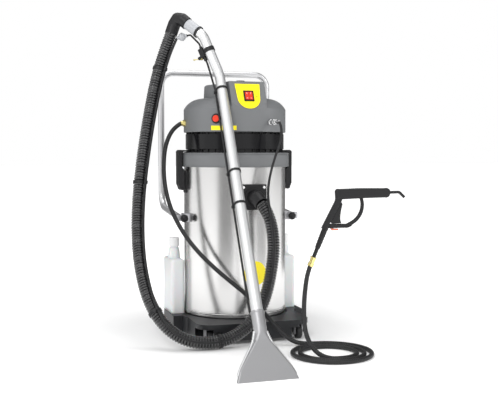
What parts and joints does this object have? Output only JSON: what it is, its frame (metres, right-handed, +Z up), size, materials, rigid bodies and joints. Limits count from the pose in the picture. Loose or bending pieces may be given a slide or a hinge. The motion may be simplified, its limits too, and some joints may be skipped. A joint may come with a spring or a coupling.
{
  "type": "carpet cleaner machine",
  "caption": "Upright stainless drum on a wheeled plastic base with a latched motor head, leaning floor wand with suction hose, spray gun on a coiled hose, side cans and a tilting push handle.",
  "frame": {"origin": "the point of the floor under the drum's upright axis", "axes": "+Z up along the drum, -Y towards the front with the switches and the suction inlet, +Y towards the push handle, +X to the right of someone who faces along +Y"},
  "size_m": [0.7447, 0.9514, 1.071],
  "materials": {
    "grey_plastic": "satin",
    "black_gloss": "gloss",
    "black_plastic": "matte",
    "dark_base": "matte",
    "steel": "brushed",
    "chrome": "polished",
    "zinc": "satin",
    "handle_paint": "silver, semi-gloss",
    "rubber_black": "matte",
    "tyre": "matte",
    "yellow_panel": "gloss",
    "orange": "gloss",
    "motor": "satin",
    "float_white": "satin",
    "brass": "satin",
    "can_white": "satin translucent",
    "cap_white": "satin",
    "aluminium": "satin",
    "collar_grey": "satin",
    "hose_black": "matte ribbed",
    "braid_black": "braided",
    "nozzle_grey": "satin cast",
    "lock_red": "satin"
  },
  "bodies": {
    "machine": {"base_tray": "dark_base", "rear_axle": "steel", "tank_shell": "steel", "tank_collar": "grey_plastic", "latch_brackets": "black_plastic", "inlet_plate": "black_plastic", "inlet_screws": "chrome", "inlet_elbow": "black_plastic", "motor_ring": "black_gloss", "hood": "grey_plastic", "switch_panel": "yellow_panel", "switch_frame": "black_plastic", "button_bezel": "black_plastic", "vacuum_motor": "motor", "solution_pump": "motor", "float_cage": "black_plastic", "quick_coupling": "chrome", "gun_hose_fitting": "brass", "power_cord_gland": "black_plastic", "handle_brackets": "zinc", "wand_tube": "aluminium", "wand_nozzle": "nozzle_grey", "wand_collar": "collar_grey", "wand_elbow": "black_plastic", "wand_valve": "black_plastic", "wand_pipe": "rubber_black", "wand_clips": "black_plastic", "suction_hose": "hose_black", "solution_hose": "rubber_black", "gun_hose_drop": "braid_black", "gun_hose_coil": "braid_black", "gun_hose_rise": "braid_black", "hose_clips": "black_plastic", "inline_filter": "chrome", "gun_coupling": "brass", "gun_body": "black_plastic", "gun_nozzle": "black_plastic", "gun_tail": "rubber_black"},
    "wheel_left": {"rear_wheel_left": "tyre"},
    "wheel_right": {"rear_wheel_right": "tyre"},
    "castor_left": {"castor_fork_left": "zinc"},
    "castor_right": {"castor_fork_right": "zinc"},
    "castor_roller_left": {"castor_wheel_left": "tyre"},
    "castor_roller_right": {"castor_wheel_right": "tyre"},
    "latch_lever_left": {"latch_left": "black_plastic"},
    "latch_lever_right": {"latch_right": "black_plastic"},
    "handle": {"push_handle": "handle_paint"},
    "knob_left": {"handle_knob_left": "black_plastic"},
    "knob_right": {"handle_knob_right": "black_plastic"},
    "can_l": {"can_left": "can_white"},
    "can_r": {"can_right": "can_white"},
    "cap_l": {"can_cap_left": "cap_white"},
    "cap_r": {"can_cap_right": "cap_white"},
    "rocker_left": {"rocker_vacuum": "orange"},
    "rocker_right": {"rocker_pump": "orange"},
    "button": {"pump_button": "orange"},
    "lever": {"valve_lever": "brass"},
    "trigger": {"gun_trigger": "black_plastic"},
    "lock": {"gun_lock": "lock_red"},
    "float": {"float_ball": "float_white"}
  },
  "joints": [
    {"name": "rear_wheel_left_spin", "type": "hinge", "parent": "machine", "child": "wheel_left", "pos_m": [-0.174, 0.19, 0.048], "axis": [1, 0, 0], "continuous": true},
    {"name": "castor_left_swivel", "type": "hinge", "parent": "machine", "child": "castor_left", "pos_m": [-0.15, -0.2, 0.05], "axis": [0, 0, 1], "continuous": true},
    {"name": "castor_left_spin", "type": "hinge", "parent": "castor_left", "child": "castor_roller_left", "pos_m": [-0.15, -0.214, 0.022], "axis": [1, 0, 0], "continuous": true},
    {"name": "latch_left_open", "type": "hinge", "parent": "machine", "child": "latch_lever_left", "pos_m": [-0.187, 0, 0.49], "axis": [0, -1, 0], "range_deg": [0, 75]},
    {"name": "handle_knob_left_turn", "type": "hinge", "parent": "machine", "child": "knob_left", "pos_m": [-0.19, -0.053, 0.389], "axis": [0, 1, 0], "continuous": true},
    {"name": "can_left_lift", "type": "slide", "parent": "machine", "child": "can_l", "axis": [-0.6, 0, 0.8], "range_m": [0, 0.12]},
    {"name": "can_cap_left_turn", "type": "hinge", "parent": "can_l", "child": "cap_l", "pos_m": [-0.199, 0.062, 0.3], "axis": [0, 0, 1], "continuous": true},
    {"name": "rear_wheel_right_spin", "type": "hinge", "parent": "machine", "child": "wheel_right", "pos_m": [0.174, 0.19, 0.048], "axis": [1, 0, 0], "continuous": true},
    {"name": "castor_right_swivel", "type": "hinge", "parent": "machine", "child": "castor_right", "pos_m": [0.15, -0.2, 0.05], "axis": [0, 0, 1], "continuous": true},
    {"name": "castor_right_spin", "type": "hinge", "parent": "castor_right", "child": "castor_roller_right", "pos_m": [0.15, -0.214, 0.022], "axis": [1, 0, 0], "continuous": true},
    {"name": "latch_right_open", "type": "hinge", "parent": "machine", "child": "latch_lever_right", "pos_m": [0.187, 0, 0.49], "axis": [0, 1, 0], "range_deg": [0, 75]},
    {"name": "handle_knob_right_turn", "type": "hinge", "parent": "machine", "child": "knob_right", "pos_m": [0.19, -0.053, 0.389], "axis": [0, 1, 0], "continuous": true},
    {"name": "can_right_lift", "type": "slide", "parent": "machine", "child": "can_r", "axis": [0.6, 0, 0.8], "range_m": [0, 0.12]},
    {"name": "can_cap_right_turn", "type": "hinge", "parent": "can_r", "child": "cap_r", "pos_m": [0.199, 0.062, 0.3], "axis": [0, 0, 1], "continuous": true},
    {"name": "handle_tilt", "type": "hinge", "parent": "machine", "child": "handle", "pos_m": [0, -0.016, 0.39], "axis": [1, 0, 0], "range_deg": [-25, 0]},
    {"name": "rocker_vacuum_press", "type": "hinge", "parent": "machine", "child": "rocker_left", "pos_m": [0, -0.15399, 0.78807], "axis": [1, 0, 0], "range_deg": [-8, 8]},
    {"name": "rocker_pump_press", "type": "hinge", "parent": "machine", "child": "rocker_right", "pos_m": [0, -0.15399, 0.78807], "axis": [1, 0, 0], "range_deg": [-8, 8]},
    {"name": "pump_button_press", "type": "slide", "parent": "machine", "child": "button", "axis": [0.6018, 0.7986, 0], "range_m": [0, 0.003], "stiffness_N_per_m": 800, "springref_m": -0.001},
    {"name": "valve_lever_press", "type": "hinge", "parent": "machine", "child": "lever", "pos_m": [-0.1297, -0.04157, 0.91565], "axis": [-0.7983, -0.5988, -0.0644], "range_deg": [0, 30], "stiffness_Nm_per_rad": 0.12, "springref_deg": -8.59},
    {"name": "gun_trigger_pull", "type": "hinge", "parent": "machine", "child": "trigger", "pos_m": [0.18595, -0.45999, 0.459], "axis": [0.309, 0.9511, 0], "range_deg": [0, 10], "stiffness_Nm_per_rad": 1.5, "springref_deg": -5.73},
    {"name": "gun_lock_slide", "type": "slide", "parent": "machine", "child": "lock", "axis": [0.9511, -0.309, 0], "range_m": [0, 0.006]},
    {"name": "float_rise", "type": "slide", "parent": "machine", "child": "float", "axis": [0, 0, 1], "range_m": [0, 0.016]}
  ]
}
